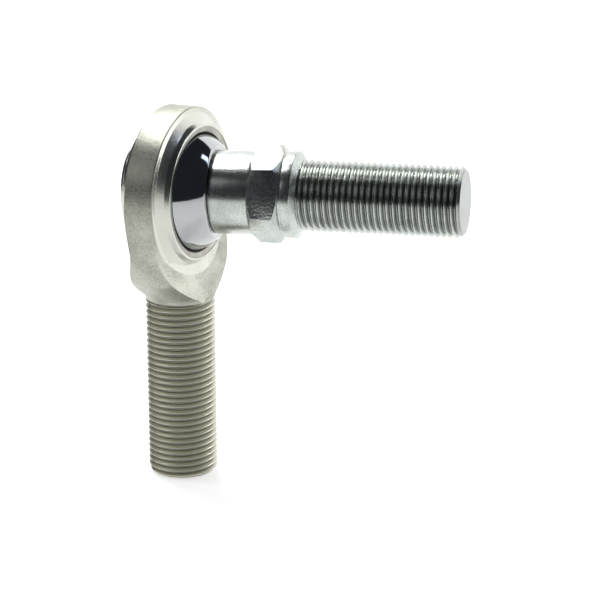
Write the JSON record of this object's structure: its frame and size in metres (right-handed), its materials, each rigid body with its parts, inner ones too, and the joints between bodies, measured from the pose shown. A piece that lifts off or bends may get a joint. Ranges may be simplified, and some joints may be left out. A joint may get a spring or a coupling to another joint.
{
  "type": "studded rod end bearing",
  "caption": "Male rod end with a threaded shank, a lined race around a chromed ball, and a threaded stud with a spanner hexagon riveted through the ball.",
  "frame": {"origin": "centre of the shank's flat end face", "axes": "+Z along the shank towards the head; +X along the axis of the head's eye, towards the stud's side; +Y to complete a right-handed frame"},
  "size_m": [0.0778, 0.0383, 0.0857],
  "materials": {
    "body_steel": "satin zinc plate on a blasted forging",
    "race_steel": "machined, satin",
    "liner_fabric": "woven, matte",
    "ball_chrome": "polished hard chrome",
    "stud_steel": "bright zinc plate, turned"
  },
  "bodies": {
    "housing": {"rod_end_body": "body_steel", "race": "race_steel"},
    "direction_ring": {"liner": "liner_fabric"},
    "tilting_ball": {"ball": "ball_chrome"},
    "turning_stud": {"stud": "stud_steel"}
  },
  "joints": [
    {"name": "lean_direction", "type": "hinge", "parent": "housing", "child": "direction_ring", "pos_m": [0, 0, 0.06667], "axis": [1, 0, 0], "continuous": true},
    {"name": "stud_lean", "type": "hinge", "parent": "direction_ring", "child": "tilting_ball", "pos_m": [0, 0, 0.06667], "axis": [0, -0.0924, 0.9957], "range_deg": [-32.3, 11.7]},
    {"name": "stud_turn", "type": "hinge", "parent": "tilting_ball", "child": "turning_stud", "pos_m": [0, 0, 0.06667], "axis": [0.9839, 0.178, 0.0165], "continuous": true}
  ]
}
